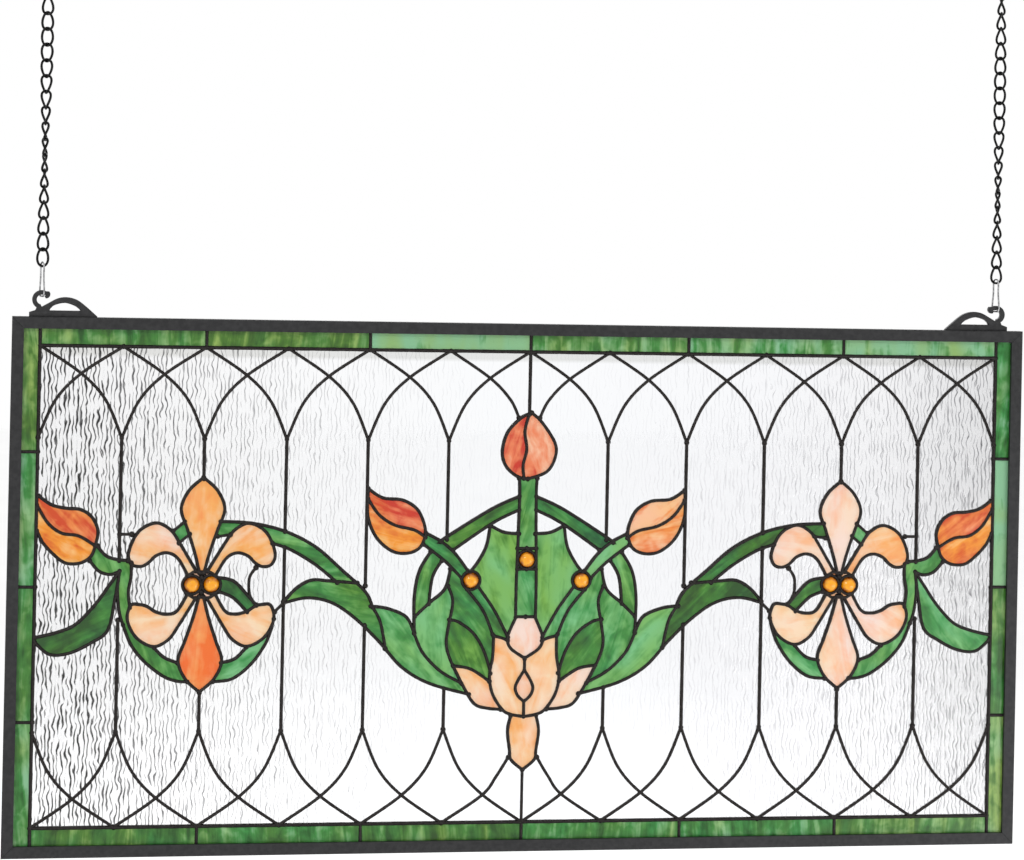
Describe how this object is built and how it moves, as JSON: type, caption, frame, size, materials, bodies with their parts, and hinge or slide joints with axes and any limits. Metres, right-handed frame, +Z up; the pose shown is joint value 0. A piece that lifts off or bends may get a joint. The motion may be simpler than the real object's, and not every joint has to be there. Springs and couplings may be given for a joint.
{
  "type": "stained glass window panel",
  "caption": "Framed stained glass hanging panel with orange flowers, green leaf scrolls, amber jewels and a Gothic leaded lattice, on two chains.",
  "frame": {"origin": "where the left chain's top ring rests on the hook that carries it", "axes": "+X along the panel to the viewer's right, +Y from the viewed face to the back, +Z up along the chains"},
  "size_m": [0.915, 0.013, 0.8077],
  "materials": {
    "frame_paint": "dark charcoal satin paint over a metal channel",
    "chain_metal": "black semi-gloss curb chain and rings",
    "clip_wire": "bare steel wire",
    "lead": "dark patinated lead came and solder",
    "clear_glass": "clear rippled water glass",
    "border_glass": "streaky opalescent light green",
    "leaf_glass": "streaky opalescent green",
    "petal_glass": "opalescent peach to orange",
    "bud_glass": "streaky red-orange",
    "jewel_glass": "domed amber jewel"
  },
  "bodies": {
    "root": {"border_glass": "border_glass", "bracket_left": "frame_paint", "bracket_right": "frame_paint", "chain_left": "chain_metal", "chain_right": "chain_metal", "clear_glass_arm_left": "clear_glass", "clear_glass_arm_right": "clear_glass", "clear_glass_hoop_left": "clear_glass", "clear_glass_hoop_right": "clear_glass", "clear_glass_lower": "clear_glass", "clear_glass_ring_left": "clear_glass", "clear_glass_ring_right": "clear_glass", "clear_glass_side_left": "clear_glass", "clear_glass_side_right": "clear_glass", "clear_glass_stem_left": "clear_glass", "clear_glass_stem_right": "clear_glass", "clear_glass_upper": "clear_glass", "clip_left": "clip_wire", "clip_right": "clip_wire", "curl_left": "leaf_glass", "curl_right": "leaf_glass", "flower_left": "petal_glass", "flower_right": "petal_glass", "foliage": "leaf_glass", "frame_rail_bottom": "frame_paint", "frame_rail_left": "frame_paint", "frame_rail_right": "frame_paint", "frame_rail_top": "frame_paint", "hoop_left": "leaf_glass", "hoop_right": "leaf_glass", "inner_bud_left": "bud_glass", "inner_bud_right": "bud_glass", "jewel_1": "jewel_glass", "jewel_2": "jewel_glass", "jewel_3": "jewel_glass", "jewel_4": "jewel_glass", "jewel_5": "jewel_glass", "jewel_6": "jewel_glass", "jewel_7": "jewel_glass", "leadwork": "lead", "middle_bud": "bud_glass", "ring_corner_left": "leaf_glass", "ring_corner_right": "leaf_glass", "ring_foot_left": "leaf_glass", "ring_foot_right": "leaf_glass", "ring_left": "leaf_glass", "ring_right": "leaf_glass", "scroll_end_left": "leaf_glass", "scroll_end_right": "leaf_glass", "side_bud_left": "bud_glass", "side_bud_right": "bud_glass", "side_leaf_left": "leaf_glass", "side_leaf_right": "leaf_glass", "top_ring_left": "chain_metal", "top_ring_right": "chain_metal", "tulip_body": "petal_glass", "tulip_outer_petal_left": "petal_glass", "tulip_outer_petal_right": "petal_glass", "tulip_tail": "petal_glass", "tulip_top": "petal_glass"}
  },
  "joints": []
}
